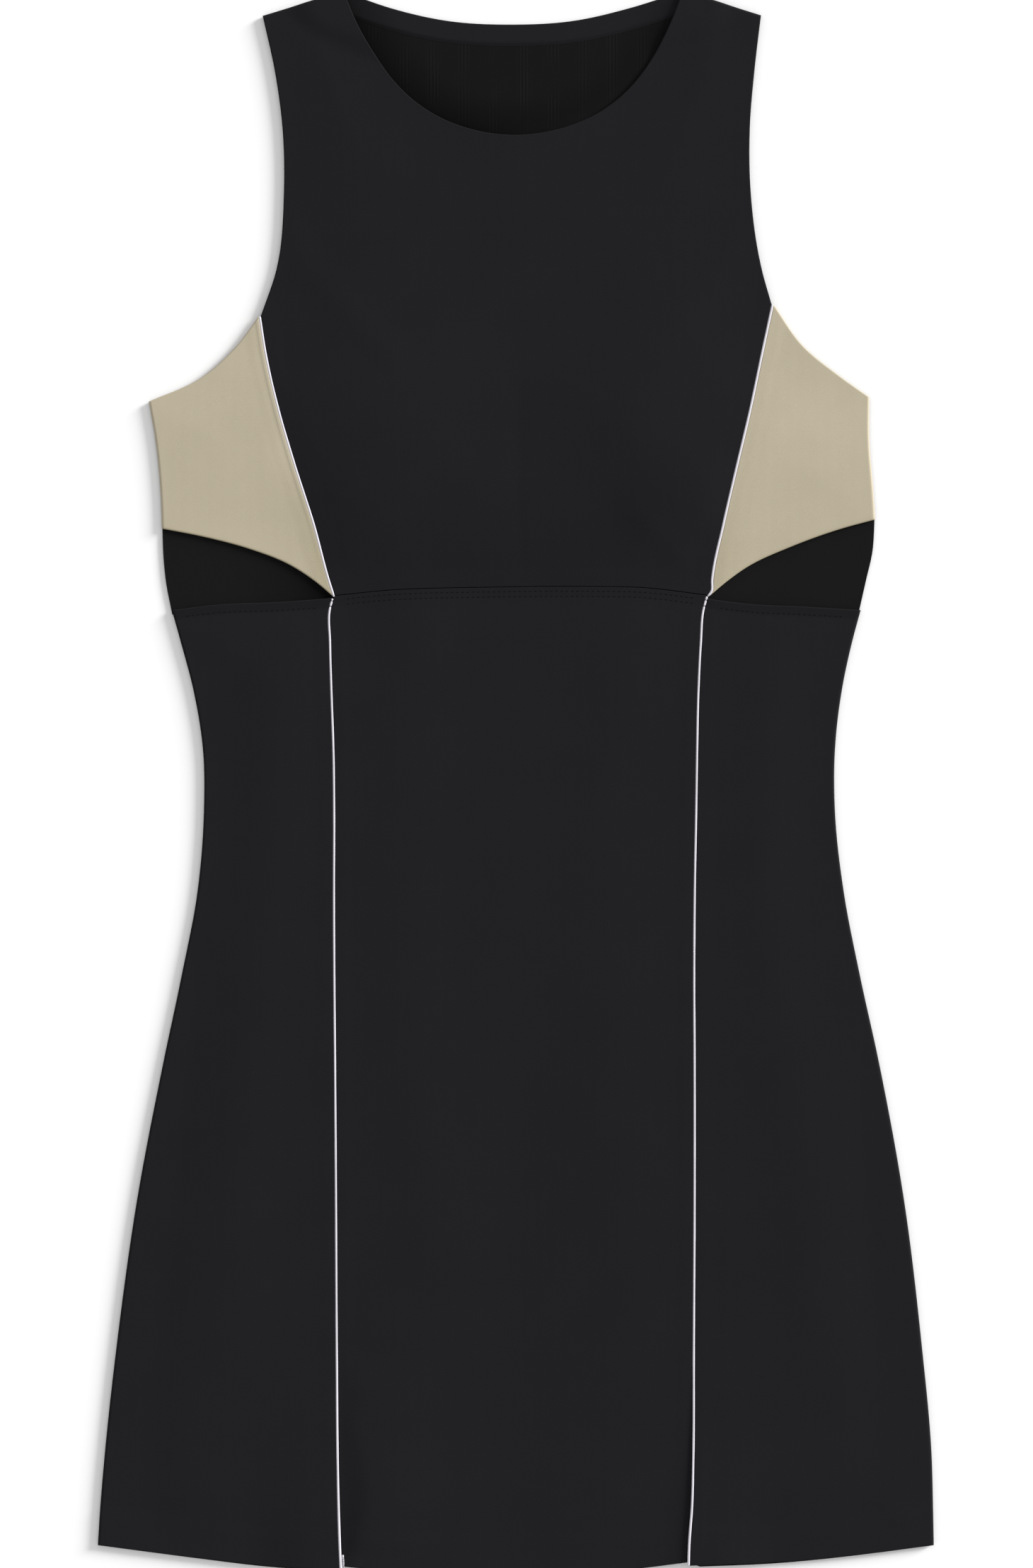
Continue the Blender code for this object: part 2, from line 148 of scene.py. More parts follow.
# The bodice's pipings taper to a tip, and the waist's rows of stitches pinch those of the skirt
TAPER_LENGTH = 3.0
TAPER_RADIUS = 0.7
PIPING_TIP = {"left": (-100.0, 102.7), "right": (105.7, 103.2)}
SKIRT_PIPING_TOP = {"left": 101.8, "right": 103.0}
PINCH = 0.45
PINCH_LENGTH = 0.5
PINCH_HEIGHTS = {"left": (100.5, 97.5), "right": (101.0, 97.7)}
HEM_WIDENING = 0.13
HEM_WIDENS_FROM = -375.0
HEM_WIDENS_OVER = 30.0

# Loose end of the left skirt piping at the hem
TAIL = [(-95.3, -425.0), (-95.0, -429.0), (-95.1, -433.6)]
TAIL_RADIUS = 0.5
TAIL_DROP = 0.3

# Topstitching. The shape is a stitch's share of the thread's radius at even places along it
STITCH_LENGTH = 2.3
STITCH_GAP = 0.55
STITCH_SHIFT = 0.08
STITCH_SHAPE = np.array([0.45, 0.9, 1.0, 1.0, 1.0, 0.9, 0.45])
THREAD_RADIUS = 0.18
THREAD_RISE = 2.0
THREAD_SINK = 2.0
THREAD_SIDES = 6
WAIST_ROWS = (2.3, 5.2)
WAIST_ROW_PART = slice(3, -3)
SIDE_ROW = 4.4
SIDE_ROW_PART = slice(4, -6)

# Threads that cross the skirt's pipings
CROSSING_RADIUS = 0.11
CROSSING_ARC = 0.6 * np.pi
CROSSING_OVERHANG = 1.3
CROSSING_SLANT = 0.1
CROSSING_SINK = 0.5

# Shade inside the dress, which deepens toward the front neckline, most of all on the side away
# from the key light. It is a share of the way from the cloth's colour to its shade colour
NECK_SHADE = 0.24
NECK_EDGE_SHADE = 0.6
NECK_EDGE_SHADE_LIT = 0.3
NECK_SHADE_REACH = 22.0
NECK_SHADE_TURN = (-30.0, 60.0)
NECK_CONTACT = 9.0

# Shade on the back in the cut-outs: at the lower edge, at the upper edge and in the left corner
WAIST_SHADE = 0.12
WAIST_SHADE_REACH = 5.0
CUT_OUT_SHADE = 0.15
CUT_OUT_SHADE_REACH = 4.0
APEX = (-101.0, 103.5)
APEX_SHADE = 0.9
APEX_SHADE_REACH = 22.0

# Shade on the front: at the neck's rim, at the side panels' free edge and over the waist's facing
NECK_RIM_SHADE = 0.35
NECK_RIM_REACH = 0.5
FREE_EDGE_SHADE = 0.6
FREE_EDGE_REACH = 0.6
FACING_SHADE = {"centre": 0.08, "side": 0.2}
FACING_WIDTH = {"centre": 5.4, "side": 4.6}

# Materials, in metres. The ribs on the cloth's inside fade in between two heights up the dress
WALE = 0.00074
COURSE = 0.00058
RIB = 0.0019
RIB_CLUSTER = 0.0165
RIBS_START = 0.2
RIBS_FULL = 0.3
CORD_RIB = 0.00045
THREAD_TURN = 0.0004

# Features in a metre of each material's noise
BLOTCHES = 28.0
FIBRES = 2600.0
FUZZ = 5200.0
RIB_BREAKS = 45.0
CORD_BLOTCHES = 260.0
PAPER_GRAIN = 900.0

# How much of its slot's colour each material shows
FACE_SHARE = 0.8
# The inside's lower shares are partly the inner knit's own darker colour and partly painted shade from
# the front that lies over it
INSIDE_SHARES = (0.63, 0.66, 0.57)
WHITE_SHARE = 0.88

# Camera, which looks straight down
PHOTO_MM_PER_PIXEL = 0.39
PHOTO_HEIGHT = 2216
PHOTO_CENTRE = (0.39, -0.39)
LENS = 100.0
SENSOR = 36.0
FRONT_LEVEL = 2.5

# Floor and light. The key's azimuth turns it from the dress's foot to its right-hand side and up
FLOOR_SIZE = 60.0
FLOOR_DROP = 0.0001
FLOOR_COLOUR = (0.95, 0.95, 0.95)
FLOOR_GLOW = 0.05
KEY_STRENGTH = 5.2
KEY_ANGLE = 21.0
KEY_ELEVATION = 15.5
KEY_AZIMUTH = 118.0
FILL_STRENGTH = 0.6

Pair = namedtuple("Pair", "left_x left_y right_x right_y")
SkirtRow = namedtuple("SkirtRow", "y left_seam left_piping right_piping right_seam")
Crease = namedtuple("Crease", "width height points")
Cut = namedtuple("Cut", "width length area")
Shade = namedtuple("Shade", "x y across along depth")
SeamShade = namedtuple("SeamShade", "depth reach top fade")
Fold = namedtuple("Fold", "y width height")

SKIRT = [
    SkirtRow(95.5, -189.7, -102.6, 103.4, 190.2),
    SkirtRow(78.0, -184.8, -102.4, 102.0, 185.5),
    SkirtRow(50.0, -177.5, -101.6, 100.6, 179.6),
    SkirtRow(18.0, -172.5, -100.5, 99.9, 176.0),
    SkirtRow(-15.0, -172.0, -100.1, 99.4, 176.0),
    SkirtRow(-60.0, -175.6, -100.2, 98.6, 180.9),
    SkirtRow(-106.0, -184.3, -100.0, 98.3, 189.8),
    SkirtRow(-153.0, -194.2, -99.6, 98.5, 200.1),
    SkirtRow(-231.0, -209.1, -99.1, 98.5, 214.3),
    SkirtRow(-309.0, -220.0, -98.7, 98.1, 223.8),
    SkirtRow(-372.0, -226.9, -98.2, 97.8, 229.4),
    SkirtRow(-398.0, -229.1, -97.7, 97.1, 230.1),
    SkirtRow(-420.0, -230.5, -97.0, 95.5, 230.5),
]
SKIRT_SEAM_TOP = Pair(-100.6, 103.1, 105.4, 103.1)
SKIRT_SIDE_TOP_Y = 102.0
SKIRT_SEAM_END = Pair(-96.4, -433.2, 95.2, -431.0)
ARMHOLE = [
    Pair(-139.6, 423.2, 135.2, 423.5),
    Pair(-133.0, 392.7, 131.7, 392.7),
    Pair(-128.9, 361.5, 129.3, 361.5),
    Pair(-128.2, 326.0, 129.9, 326.0),
    Pair(-132.4, 283.5, 136.1, 283.5),
    Pair(-141.2, 257.4, 141.6, 264.0),
    Pair(-153.5, 241.2, 157.6, 241.6),
    Pair(-172.8, 223.9, 177.8, 225.0),
    Pair(-202.4, 210.4, 195.0, 212.8),
]
PIPED_SEAM_ROW = 5
BODICE_SEAM = [
    Pair(-141.2, 257.4, 141.6, 264.0),
    Pair(-137.9, 236.7, 135.7, 236.7),
    Pair(-130.7, 205.5, 129.1, 205.5),
    Pair(-121.5, 174.3, 121.7, 174.3),
    Pair(-111.5, 143.1, 114.5, 143.1),
    Pair(-103.1, 111.9, 108.2, 111.9),
    Pair(-100.9, 105.0, 107.8, 105.6),
    Pair(-100.4, 103.4, 106.1, 103.4),
]
BODICE_SIDE = [
    Pair(-202.4, 210.4, 195.0, 212.8),
    Pair(-198.9, 189.9, 195.0, 189.9),
    Pair(-195.9, 158.7, 197.4, 158.7),
    Pair(-195.2, 140.4, 198.2, 145.4),
]
CUT_OUT_SIDE = [
    Pair(-195.2, 140.4, 198.2, 145.4),
    Pair(-194.8, 127.5, 197.0, 127.5),
    Pair(-193.4, 112.0, 193.5, 112.0),
    Pair(-189.8, 93.0, 189.2, 93.0),
]
CUT_OUT_TOP = [
    Pair(-195.2, 140.4, 198.2, 145.4),
    Pair(-171.2, 135.9, 178.6, 140.2),
    Pair(-147.8, 129.9, 152.0, 130.8),
    Pair(-125.6, 121.3, 129.1, 120.3),
    Pair(-111.3, 112.0, 117.6, 112.1),
    Pair(-102.5, 104.6, 108.8, 104.6),
]
CUT_OUT_BOTTOM = [
    Pair(-189.7, 95.5, 189.9, 95.5),
    Pair(-163.4, 98.5, 157.6, 97.5),
    Pair(-134.9, 99.5, 131.8, 98.7),
    Pair(-116.6, 100.6, 118.6, 100.2),
    Pair(-104.0, 101.6, 107.5, 101.8),
]
WAIST_SEAM = [
    (-100.2, 103.3),
    (-70.0, 106.2),
    (-20.0, 107.7),
    (35.0, 108.2),
    (72.0, 107.4),
    (105.8, 103.4),
]
NECK_POINTS = ((-95.2, 436.8), (92.3, 437.0))
FRONT_NECK = [
    NECK_POINTS[0],
    (-85.8, 415.4),
    (-77.4, 401.3),
    (-67.3, 387.3),
    (-57.6, 377.6),
    (-44.5, 368.5),
    (-26.9, 361.2),
    (-1.0, 357.3),
    (26.2, 361.3),
    (43.6, 368.5),
    (56.6, 377.6),
    (66.2, 387.3),
    (76.1, 401.3),
    (83.5, 415.4),
    NECK_POINTS[1],
]
BACK_NECK = [
    NECK_POINTS[0],
    (-69.0, 427.6),
    (-37.4, 420.5),
    (-2.7, 418.5),
    (32.0, 420.6),
    (62.8, 427.6),
    NECK_POINTS[1],
]
CENTRE_HEM = [(-94.4, -430.6), (-50.0, -434.6), (0.0, -436.3), (50.0, -434.0), (94.0, -428.2)]
SIDE_HEM = [
    Pair(-230.5, -420.0, 230.5, -419.0),
    Pair(-179.0, -427.0, 190.3, -424.7),
    Pair(-124.8, -432.9, 144.3, -429.4),
    Pair(-97.6, -434.0, 96.4, -431.6),
]

# Soft ridges, and troughs where the height is below zero
CREASES = [
    Crease(20.0, 0.45, [(-116.6, 190.0), (-60.0, 212.0), (2.3, 225.0), (60.0, 200.0), (105.7, 162.6)]),
    Crease(3.5, -0.12, [(2.0, 215.0), (1.0, 160.0), (3.0, 120.0)]),
    Crease(9.0, 0.3, [(-128.0, 300.0), (-95.0, 262.0), (-70.0, 238.0)]),
    Crease(10.0, 0.25, [(129.0, 305.0), (100.0, 268.0), (78.0, 240.0)]),
    Crease(8.0, 0.25, [(-92.0, 128.0), (-60.0, 160.0)]),
    Crease(7.0, 0.22, [(90.0, 125.0), (66.0, 150.0)]),
    Crease(20.0, 0.5, [(-55.0, 90.0), (-62.0, -60.0), (-50.0, -250.0)]),
    Crease(22.0, 0.45, [(58.0, 80.0), (50.0, -120.0), (66.0, -330.0)]),
    Crease(26.0, -0.4, [(5.0, -150.0), (-8.0, -420.0)]),
    Crease(18.0, 0.45, [(-130.0, 80.0), (-140.0, -80.0), (-160.0, -300.0)]),
    Crease(14.0, -0.35, [(-190.0, -120.0), (-200.0, -400.0)]),
    Crease(17.0, 0.4, [(140.0, 85.0), (138.0, -60.0), (165.0, -290.0)]),
    Crease(15.0, -0.35, [(200.0, -180.0), (195.0, -405.0)]),
]
# The centre panel rises to the right of the left slit, over this width and by this much
SLIT_FOLD = [
    Fold(-315.0, 14.0, 0.0),
    Fold(-332.0, 14.0, 0.7),
    Fold(-356.0, 13.0, 0.95),
    Fold(-379.0, 16.5, 1.5),
    Fold(-395.0, 18.0, 1.85),
    Fold(-407.0, 15.5, 2.0),
    Fold(-418.0, 12.0, 1.7),
    Fold(-426.0, 8.0, 0.9),
    Fold(-440.0, 5.0, 0.4),
]
SLIT_FOLD_FADE = 50.0

# Soft shade on the front above the waist, and beside the piping on the side panels
WAIST_SHADES = [
    Shade(-108.0, 148.0, 24.0, 42.0, 0.15),
    Shade(-45.0, 122.0, 55.0, 34.0, 0.11),
    Shade(45.0, 118.0, 62.0, 32.0, 0.12),
    Shade(64.0, 150.0, 18.0, 20.0, 0.15),
]
SEAM_SHADES = {"left": SeamShade(0.3, 8.0, 185.0, 60.0), "right": SeamShade(0.2, 12.0, 170.0, 50.0)}


def smoothstep(value):
    """0 below 0, 1 above 1, with a soft rise between."""
    t = np.clip(value, 0.0, 1.0)
    return t * t * (3.0 - 2.0 * t)


def smooth(points):
    """A dense line through the points, as cubic curves that share their slope at each point."""
    points = np.array(points, float)
    chords = np.linalg.norm(np.diff(points, axis=0), axis=1)
    knots = np.concatenate([[0.0], np.cumsum(chords)])
    slopes = np.gradient(points, knots, axis=0)
    spans = [np.linspace(a, b, CURVE_STEPS, endpoint=False) for a, b in zip(knots[:-1], knots[1:])]
    t = np.concatenate(spans + [knots[-1:]])
    i = np.clip(np.searchsorted(knots, t, side="right") - 1, 0, len(knots) - 2)
    width = (knots[i + 1] - knots[i])[:, None]
    s = (t - knots[i])[:, None] / width
    start = (2 * s**3 - 3 * s**2 + 1) * points[i] + (s**3 - 2 * s**2 + s) * width * slopes[i]
    end = (3 * s**2 - 2 * s**3) * points[i + 1] + (s**3 - s**2) * width * slopes[i + 1]
    return start + end


def run_of(line):
    """The length of the line up to each of its points."""
    lengths = np.linalg.norm(np.diff(line, axis=0), axis=1)
    return np.concatenate([[0.0], np.cumsum(lengths)])


def fractions_of(line):
    """How far along the line each of its points is, from 0 to 1."""
    run = run_of(line)
    return run / run[-1]


def along(line, fractions):
    """The line's points at these fractions of its length."""
    own = fractions_of(line)
    return np.stack([np.interp(fractions, own, line[:, k]) for k in range(line.shape[1])], axis=-1)


def resampled(line, spacing):
    """The line with evenly spaced points."""
    count = max(2, round(run_of(line)[-1] / spacing) + 1)
    return along(line, np.linspace(0, 1, count))


def sideways(line):
    """Unit vectors across the line. It runs down the dress, and they point to the right."""
    direction = np.gradient(line, axis=0)
    direction /= np.linalg.norm(direction, axis=1)[:, None]
    return np.stack([-direction[:, 1], direction[:, 0]], axis=-1)


def offset(line, amount):
    """The line moved sideways, to the right where the amount is positive."""
    return line + sideways(line) * np.reshape(amount, (-1, 1))


def fit_ends(line, start, end):
    """The line with its ends moved onto the given points, and the rest shifted in proportion."""
    f = fractions_of(line)[:, None]
    return line + (start - line[0]) * (1 - f) + (end - line[-1]) * f


def between(line, top, bottom):
    """The part of a line that runs down the dress, between two heights. Either may lie past its end."""
    heights = line[::-1, 1]
    inside = [y for y in (top, bottom) if heights[0] < y < heights[-1]]
    ends = [(np.interp(y, heights, line[::-1, 0]), y) for y in inside]
    kept = line[(line[:, 1] > bottom) & (line[:, 1] < top)]
    found = np.vstack([kept, *np.reshape(ends, (-1, 1, 2))])
    return found[np.argsort(-found[:, 1], kind="stable")]


def steps(length, spacing, first=True, last=True):
    """Fractions across a panel: narrow strips along its two edges, then about even spaces."""
    strips = np.array(EDGE_STRIPS) * min(1.0, length / (3 * EDGE_STRIPS[-1])) / length
    start = strips if first else np.zeros(1)
    end = 1 - strips[::-1] if last else np.ones(1)
    count = max(3, round((end[0] - start[-1]) * length / spacing) + 1)
    return np.concatenate([start, np.linspace(start[-1], end[0], count)[1:-1], end])


def distance(points, lines):
    """How far each point is from the nearest of the lines."""
    flat = np.reshape(points, (-1, 1, 2))
    nearest = np.full(len(flat), np.inf)
    for line in lines:
        start, part = line[:-1], np.diff(line, axis=0)
        t = ((flat - start) * part).sum(axis=-1) / (part**2).sum(axis=-1)
        away = flat - start - np.clip(t, 0.0, 1.0)[..., None] * part
        nearest = np.minimum(nearest, np.sqrt((away**2).sum(axis=-1)).min(axis=-1))
    return nearest.reshape(np.shape(points)[:-1])


def one_side(pair, side):
    """The left or the right point of a pair."""
    return (getattr(pair, side + "_x"), getattr(pair, side + "_y"))


def hand(table, side):
    """One side's line of a table of pairs."""
    return smooth([one_side(pair, side) for pair in table])


def side_seam(side):
    """The skirt's side seam, from the cut-out to the hem."""
    return smooth([(getattr(row, side + "_seam"), row.y) for row in SKIRT])


def skirt_seam(side):
    """The skirt's piped seam, from the waist to the hem."""
    points = [(getattr(row, side + "_piping"), row.y) for row in SKIRT]
    return smooth([one_side(SKIRT_SEAM_TOP, side), *points, one_side(SKIRT_SEAM_END, side)])


def coons(left, right, top, bottom, v, u):
    """A panel's plan, as rows of points, from its four edges. v runs down and u across."""
    left, right = along(left, v)[:, None], along(right, v)[:, None]
    v, u = v[:, None, None], u[None, :, None]
    corners = (1 - v) * ((1 - u) * top[0] + u * top[-1]) + v * ((1 - u) * bottom[0] + u * bottom[-1])
    return (1 - u) * left + u * right + (1 - v) * top + v * bottom - corners


def panel_plan(outer, inner, top, bottom, spacing, side="left"):
    """A panel between an outer and an inner edge. Both of its cross edges run from outer to inner."""
    top = fit_ends(top, outer[0], inner[0])
    bottom = fit_ends(bottom, outer[-1], inner[-1])
    v = steps(run_of(outer)[-1], spacing)
    u = steps(run_of(top)[-1], spacing)
    plan = coons(outer, inner, along(top, u), along(bottom, u), v, u)
    return plan if side == "left" else plan[:, ::-1]


def stacked_plan(upper_edges, lower_edges, top, bottom, across, spacing):
    """Two patches, one below the other, with a straight row where they meet."""
    level = along(np.array([lower_edges[0][0], lower_edges[1][0]]), across)
    bottom = along(fit_ends(bottom, lower_edges[0][-1], lower_edges[1][-1]), across)
    upper_v = steps(run_of(upper_edges[0])[-1], spacing, last=False)[:-1]
    lower_v = steps(run_of(lower_edges[0])[-1], spacing, first=False)
    upper = coons(*upper_edges, top, level, upper_v, across)
    return np.vstack([upper, coons(*lower_edges, level, bottom, lower_v, across)])


def shoulders_and_neck(neck, tips, spacing):
    """The top edge from one shoulder's tip to the other, and its points' places across."""
    shoulders = []
    for tip, neck_point in ((tips[0], neck[0]), (tips[1], neck[-1])):
        shoulder = np.array([tip, neck_point])
        shoulders.append(along(shoulder, steps(run_of(shoulder)[-1], spacing, last=False)[:-1]))
    top = np.vstack([shoulders[0], resampled(neck, spacing), shoulders[1][::-1]])
    across = (top[:, 0] - top[0, 0]) / (top[-1, 0] - top[0, 0])
    return top, across


FRONT_NECK_LINE = smooth(FRONT_NECK)
BACK_NECK_LINE = smooth(BACK_NECK)
WAIST_LINE = smooth(WAIST_SEAM)
HEM_LINES = [smooth(CENTRE_HEM), hand(SIDE_HEM, "left"), hand(SIDE_HEM, "right")]
SIDES = ("left", "right")
PIPED_SEAMS = [line for side in SIDES for line in (hand(BODICE_SEAM, side), skirt_seam(side))]
CUT_OUT_EDGES = [hand(table, side) for side in SIDES for table in (CUT_OUT_TOP, CUT_OUT_BOTTOM)]
SHOULDERS = [smooth([NECK_POINTS[k], one_side(ARMHOLE[0], side)]) for k, side in enumerate(SIDES)]
FRONT_EDGES = [FRONT_NECK_LINE, *HEM_LINES, *CUT_OUT_EDGES, *SHOULDERS]
for one in SIDES:
    FRONT_EDGES += [hand(ARMHOLE, one), hand(BODICE_SIDE, one), side_seam(one)]


def creased(points):
    """The height that the soft ridges and troughs add."""
    added = np.zeros(points.shape[:-1])
    for crease in CREASES:
        away = distance(points, [smooth(crease.points)])
        added += crease.height * np.exp(-((away / crease.width) ** 2))
    return added


def front_underside(points, overlaps_slit=False):
    """Height of the front's inner face, as in the solids, with the cloth's own waves added."""
    x, y = points[..., 0], points[..., 1]
    seam = distance(points, PIPED_SEAMS)
    edge = distance(points, FRONT_EDGES)
    bust = np.exp(-(((np.abs(x) - BUST_X) / BUST_WIDTH) ** 2) - ((y - BUST_Y) / BUST_HEIGHT) ** 2)
    fullness = PUFF + BUST_LIFT * bust
    for line, dip in zip(PIPED_SEAMS, SEAM_DIPS):
        fullness = fullness - dip * np.exp(-((distance(points, [line]) / SEAM_REACH) ** 2))
    fullness = fullness * smoothstep(edge / PUFF_REACH)
    near_slit = smoothstep((SLIT_TOP - y) / SLIT_RISE_LENGTH)
    near_slit = near_slit * (1 - smoothstep((seam - SLIT_LIFT_FLAT) / SLIT_LIFT_FADE))
    lift = SLIT_LIFT if overlaps_slit else 0.0
    fullness = fullness * (1 - near_slit) + lift * near_slit
    neck = distance(points, [FRONT_NECK_LINE])
    neck_lift = NECK_LIFT * np.exp(-((neck / NECK_LIFT_REACH) ** 2) - (x / NECK_LIFT_WIDTH) ** 2)
    fade = smoothstep(edge / WAVE_FADE) * smoothstep(seam / WAVE_FADE)
    fullness = fullness + neck_lift + creased(points) * fade
    sewn = distance(points, [*PIPED_SEAMS, WAIST_LINE])
    allowance = 1 - smoothstep((sewn - ALLOWANCE_WIDTH) / ALLOWANCE_FADE)
    hem = 1 - smoothstep(distance(points, HEM_LINES) - HEM_WIDTH)
    fullness = fullness + ALLOWANCE_HEIGHT * allowance + HEM_HEIGHT * hem
    beyond_band = (distance(points, [BACK_NECK_LINE]) - BAND_WIDTH - BAND_CLEARANCE) / BAND_FADE
    over_band = BAND_ROOM * (1 - smoothstep(beyond_band))
    return WALL + GAP + np.maximum(fullness, over_band)


def round_off(away, radius):
    """How far a face drops inside this distance of an edge that is rounded like a quarter circle."""
    if radius <= 0:
        return np.zeros(np.shape(away))
    inside = np.clip(radius - away, 0.0, radius)
    return radius - np.sqrt(radius**2 - inside**2)


def link_or_set(tree, socket, value):
    """Links a node's output to the socket, or sets the socket to a plain value."""
    if isinstance(value, bpy.types.NodeSocket):
        tree.links.new(value, socket)
    else:
        socket.default_value = value


def add_node(tree, kind, inputs=(), **settings):
    """A new node with its settings and inputs. Inputs go by name or number."""
    node = tree.nodes.new("ShaderNode" + kind)
    for key, value in settings.items():
        setattr(node, key, value)
    for key, value in dict(inputs).items():
        link_or_set(tree, node.inputs[key], value)
    return node


def calculate(tree, operation, *values):
    """A math node's output."""
    return add_node(tree, "Math", dict(enumerate(values)), operation=operation).outputs[0]


def multiply(tree, first, second):
    """The product of two values."""
    return calculate(tree, "MULTIPLY", first, second)


def wave(tree, value, length):
    """A sine wave of this length."""
    return calculate(tree, "SINE", multiply(tree, value, 2 * np.pi / length))


def ramp(tree, value, start, end):
    """0 up to the start and 1 from the end on, with a straight rise between."""
    return add_node(tree, "MapRange", {0: value, 1: start, 2: end}).outputs[0]


def scaled(tree, value, low, high):
    """A value from 0 to 1 brought to between low and high."""
    return add_node(tree, "MapRange", {0: value, 3: low, 4: high}).outputs[0]


def noise(tree, vector, scale, detail=2.0):
    """Noise from 0 to 1, with this many features in a metre."""
    return add_node(tree, "TexNoise", {"Vector": vector, "Scale": scale, "Detail": detail}).outputs[0]


def knit_height(tree, x, y):
    """Height of plain knitting: columns of V stitches, a wale wide and a course long."""
    column = calculate(tree, "FRACT", calculate(tree, "DIVIDE", x, WALE))
    aside = calculate(tree, "ABSOLUTE", calculate(tree, "SUBTRACT", column, 0.5))
    row = calculate(tree, "ADD", calculate(tree, "DIVIDE", y, COURSE), multiply(tree, aside, 1.3))
    leg = scaled(tree, multiply(tree, wave(tree, row, 1.0), 0.5), -0.35, 0.65)
    hollow = calculate(tree, "COSINE", multiply(tree, aside, 4 * np.pi))
    return calculate(tree, "ADD", leg, multiply(tree, hollow, -0.25))


def start_material(name, roughness, specular, sheen):
    """A material with its shader's plain values set, its node tree and its object coordinates."""
    material = bpy.data.materials.new(name)
    material.use_nodes = True
    tree = material.node_tree
    shader = tree.nodes["Principled BSDF"]
    shader.inputs["Roughness"].default_value = roughness
    shader.inputs["Specular IOR Level"].default_value = specular
    shader.inputs["Sheen Weight"].default_value = sheen
    shader.inputs["Sheen Roughness"].default_value = 0.5
    place = add_node(tree, "TexCoord").outputs["Object"]
    axes = add_node(tree, "SeparateXYZ", {0: place})
    return material, tree, shader, place, axes


def tinted(tree, colour, brightness):
    """The colour with its brightness multiplied."""
    scale = add_node(tree, "VectorMath", {0: colour, 3: brightness}, operation="SCALE")
    return scale.outputs[0]


def add_relief(tree, shader, height, strength, depth):
    """Lets the height shape the surface's shading. The depth is in metres."""
    bump = add_node(tree, "Bump", {"Height": height, "Strength": strength, "Distance": depth})
    tree.links.new(bump.outputs[0], shader.inputs["Normal"])


def jersey(name, colour, roughness, specular, sheen, shade_colour, ribbed=False):
    """Fine jersey: a mottled colour, a knit relief and fibre fuzz. The mesh's shade darkens it."""
    material, tree, shader, place, axes = start_material(name, roughness, specular, sheen)
    x, y = axes.outputs[0], axes.outputs[1]
    blotches = scaled(tree, noise(tree, place, BLOTCHES, 3.0), 0.93, 1.07)
    fibres = scaled(tree, noise(tree, place, FIBRES), 0.86, 1.14)
    height = knit_height(tree, x, y)
    # Painted shade in the knit: its hollows are a little darker than its raised legs
    brightness = multiply(tree, fibres, scaled(tree, height, 0.94, 1.05))
    brightness = multiply(tree, blotches, brightness)
    if ribbed:
        clusters = ramp(tree, wave(tree, x, RIB_CLUSTER), -0.1, 0.7)
        unbroken = ramp(tree, noise(tree, place, RIB_BREAKS), 0.35, 0.6)
        ribs = multiply(tree, multiply(tree, wave(tree, x, RIB), clusters), unbroken)
        ribs = multiply(tree, ribs, ramp(tree, y, RIBS_START, RIBS_FULL))
        brightness = multiply(tree, brightness, scaled(tree, ribs, 1.0, 1.35))
        height = calculate(tree, "ADD", height, multiply(tree, ribs, 1.2))
    # Painted shade: the mesh's shade attribute mixes the colour toward the shade colour
    shade = add_node(tree, "Attribute", attribute_name="shade").outputs["Fac"]
    base = tinted(tree, colour, brightness)
    mix = add_node(tree, "Mix", {0: shade, 6: base, 7: (*shade_colour, 1.0)}, data_type="RGBA")
    tree.links.new(mix.outputs[2], shader.inputs["Base Color"])
    fuzz = multiply(tree, noise(tree, place, FUZZ), 0.35)
    add_relief(tree, shader, calculate(tree, "ADD", height, fuzz), 0.35, 0.00012)
    return material


def cord_cover(name, colour):
    """Satin tape round a cord: fine diagonal ribs and a soft gloss."""
    material, tree, shader, place, axes = start_material(name, 0.5, 0.35, 0.15)
    slant = calculate(tree, "ADD", axes.outputs[0], axes.outputs[1])
    ribs = scaled(tree, multiply(tree, wave(tree, slant, CORD_RIB), 0.5), 0.5, 1.0)
    brightness = scaled(tree, noise(tree, place, CORD_BLOTCHES), 0.95, 1.03)
    brightness = multiply(tree, brightness, scaled(tree, ribs, 0.95, 1.0))
    tree.links.new(tinted(tree, colour, brightness), shader.inputs["Base Color"])
    add_relief(tree, shader, ribs, 0.3, 0.00008)
    return material


def thread(name, colour):
    """Twisted sewing thread."""
    material, tree, shader, _, axes = start_material(name, 0.8, 0.05, 0.0)
    slant = calculate(tree, "ADD", axes.outputs[0], multiply(tree, axes.outputs[1], 0.8))
    twist = wave(tree, slant, THREAD_TURN)
    brightness = scaled(tree, multiply(tree, twist, 0.5), 0.9, 1.15)
    tree.links.new(tinted(tree, colour, brightness), shader.inputs["Base Color"])
    add_relief(tree, shader, twist, 0.4, 0.00006)
    return material


SLOT_COLOURS = {row["slot"]: tuple(row["base_color"]) for row in frame["record"]["materials"]}
BLACK = SLOT_COLOURS["black_jersey"]
FACE = tuple(FACE_SHARE * part for part in BLACK)
INSIDE = tuple(share * part for share, part in zip(INSIDE_SHARES, BLACK))
STONE = SLOT_COLOURS["stone_jersey"]
WHITE = tuple(WHITE_SHARE * part for part in SLOT_COLOURS["white_piping"])
THREAD = (0.006, 0.006, 0.0065)
# The colours that painted shade darkens the cloth toward
BLACK_SHADE = (0.002, 0.002, 0.002)
STONE_SHADE = (0.27, 0.23, 0.12)
MATERIALS = {
    "black": jersey("black_face", FACE, 0.85, 0.06, 0.02, BLACK_SHADE),
    "inside": jersey("black_inside", INSIDE, 0.9, 0.04, 0.01, BLACK_SHADE, ribbed=True),
    "stone": jersey("stone_face", STONE, 0.85, 0.2, 0.08, STONE_SHADE),
    "white": cord_cover("white_cord", WHITE),
    "thread": thread("black_thread", THREAD),
}


